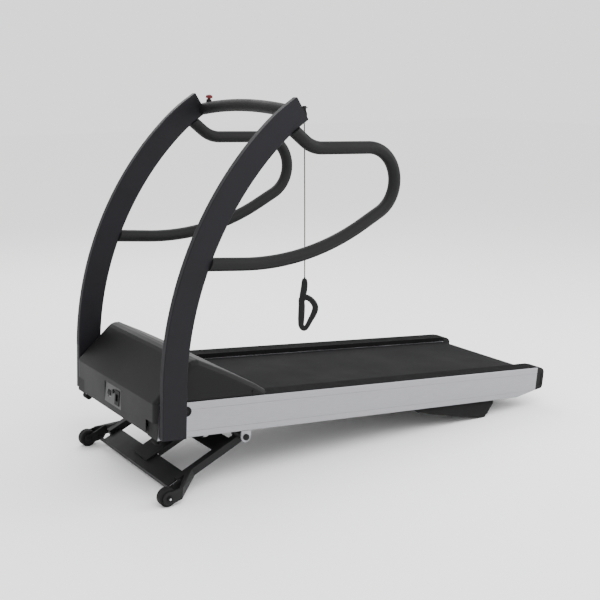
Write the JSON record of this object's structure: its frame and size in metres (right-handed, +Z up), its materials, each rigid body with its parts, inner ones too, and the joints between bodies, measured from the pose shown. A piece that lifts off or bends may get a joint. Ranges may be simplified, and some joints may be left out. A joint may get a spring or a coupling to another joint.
{
  "type": "treadmill",
  "caption": "Motorised stress-test treadmill: flat belt between silver side rails, curved uprights, wraparound handrails and a powered front lift frame on wheels.",
  "frame": {"origin": "middle of the footprint, on the floor", "axes": "+Z up; the front of the machine, with the hood and uprights, is at -X and the open end of the belt at +X; +Y is the right-hand side of a person walking on the belt"},
  "size_m": [2.037, 0.822, 1.4659],
  "materials": {
    "rail_aluminium": "satin anodised",
    "step_grip": "ribbed matte",
    "moulded_black": "fine moulded texture",
    "post_paint": "fine textured powder coat",
    "frame_paint": "fine textured powder coat",
    "chassis_paint": "satin powder coat",
    "deck_ply": "sealed board",
    "soft_rubber": "matte",
    "belt_rubber": "fine diamond texture",
    "drive_rubber": "matte",
    "bright_steel": "turned",
    "motor_paint": "satin",
    "heat_sink": "satin",
    "hood_plastic": "fine grain",
    "panel_grey": "satin",
    "lift_paint": "textured powder coat",
    "wheel_tyre": "matte",
    "wheel_hub": "satin",
    "stop_red": "gloss",
    "cord_sheath": "braided",
    "webbing": "woven webbing"
  },
  "bodies": {
    "frame": {"left_side_rail": "rail_aluminium", "right_side_rail": "rail_aluminium", "left_step_strip": "step_grip", "right_step_strip": "step_grip", "left_end_cap": "moulded_black", "right_end_cap": "moulded_black", "left_upright": "post_paint", "right_upright": "post_paint", "upright_caps": "moulded_black", "left_handrail": "frame_paint", "right_handrail": "frame_paint", "front_crossbar": "frame_paint", "upright_bolts": "moulded_black", "rail_grommets": "moulded_black", "deck_board": "deck_ply", "deck_isolators": "soft_rubber", "cross_members": "chassis_paint", "running_belt": "belt_rubber", "roller_bearings": "bright_steel", "tension_bolts": "bright_steel", "motor_plate": "chassis_paint", "drive_motor": "motor_paint", "drive_belt": "drive_rubber", "motor_controller": "heat_sink", "elevation_motor": "motor_paint", "motor_hood": "hood_plastic", "hood_screws": "moulded_black", "front_channel": "chassis_paint", "inlet_panel": "panel_grey", "power_inlet": "moulded_black", "left_rear_foot": "soft_rubber", "right_rear_foot": "soft_rubber", "foot_plates": "chassis_paint", "left_pivot_bracket": "rail_aluminium", "right_pivot_bracket": "rail_aluminium", "pivot_pins": "moulded_black", "corner_bumpers": "soft_rubber", "estop_base": "moulded_black", "switch_bracket": "frame_paint", "switch_body": "moulded_black"},
    "lift_frame": {"lift_arms": "lift_paint", "lift_front_plate": "lift_paint", "lift_rear_plate": "lift_paint", "lift_yoke": "lift_paint", "wheel_forks": "lift_paint", "axle_bolts": "moulded_black"},
    "left_wheel": {"left_wheel_tyre": "wheel_tyre", "left_wheel_hub": "wheel_hub"},
    "right_wheel": {"right_wheel_tyre": "wheel_tyre", "right_wheel_hub": "wheel_hub"},
    "drive_roller": {"front_roller": "bright_steel"},
    "idler_roller": {"rear_roller": "bright_steel"},
    "motor_rotor": {"motor_shaft": "bright_steel"},
    "breaker": {"breaker_button": "moulded_black"},
    "rocker": {"power_rocker": "moulded_black"},
    "stop_button": {"estop_button": "stop_red"},
    "pull_switch": {"switch_plunger": "bright_steel"},
    "tether": {"tether_cord": "cord_sheath", "strap_handle": "webbing"}
  },
  "joints": [
    {"name": "elevation", "type": "hinge", "parent": "frame", "child": "lift_frame", "pos_m": [-0.63619, 0, 0.19136], "axis": [0, -1, 0], "range_deg": [-27, 46]},
    {"name": "left_wheel_spin", "type": "hinge", "parent": "lift_frame", "child": "left_wheel", "pos_m": [-0.982, -0.37, 0.035], "axis": [0, 1, 0], "continuous": true},
    {"name": "right_wheel_spin", "type": "hinge", "parent": "lift_frame", "child": "right_wheel", "pos_m": [-0.982, 0.37, 0.035], "axis": [0, 1, 0], "continuous": true},
    {"name": "drive_roller_spin", "type": "hinge", "parent": "frame", "child": "drive_roller", "pos_m": [-0.88751, 0, 0.31844], "axis": [0, 1, 0], "continuous": true},
    {"name": "idler_roller_spin", "type": "hinge", "parent": "frame", "child": "idler_roller", "pos_m": [0.95776, 0, 0.12866], "axis": [0, 1, 0], "continuous": true},
    {"name": "motor_spin", "type": "hinge", "parent": "frame", "child": "motor_rotor", "pos_m": [-0.77167, 0, 0.41842], "axis": [0, 1, 0], "continuous": true},
    {"name": "breaker_push", "type": "slide", "parent": "frame", "child": "breaker", "axis": [0.9948, 0, -0.1023], "range_m": [0, 0.004], "stiffness_N_per_m": 500},
    {"name": "power_rocker_tilt", "type": "hinge", "parent": "frame", "child": "rocker", "pos_m": [-0.9981, 0.04, 0.32811], "axis": [0, 1, 0], "range_deg": [-8, 8]},
    {"name": "stop_button_push", "type": "slide", "parent": "frame", "child": "stop_button", "axis": [-0.1023, 0, -0.9948], "range_m": [0, 0.005], "stiffness_N_per_m": 800},
    {"name": "pull_switch_slide", "type": "slide", "parent": "frame", "child": "pull_switch", "axis": [0, 0, -1], "range_m": [0, 0.006], "stiffness_N_per_m": 1500},
    {"name": "tether_swing", "type": "hinge", "parent": "pull_switch", "child": "tether", "pos_m": [-0.34303, -0.34, 1.36553], "axis": [0, 1, 0], "range_deg": [-12, 12]}
  ],
  "couplings": [
    {"joint": "motor_spin", "follows": "drive_roller_spin", "ratio": 1.4167},
    {"joint": "idler_roller_spin", "follows": "drive_roller_spin", "ratio": 1}
  ]
}
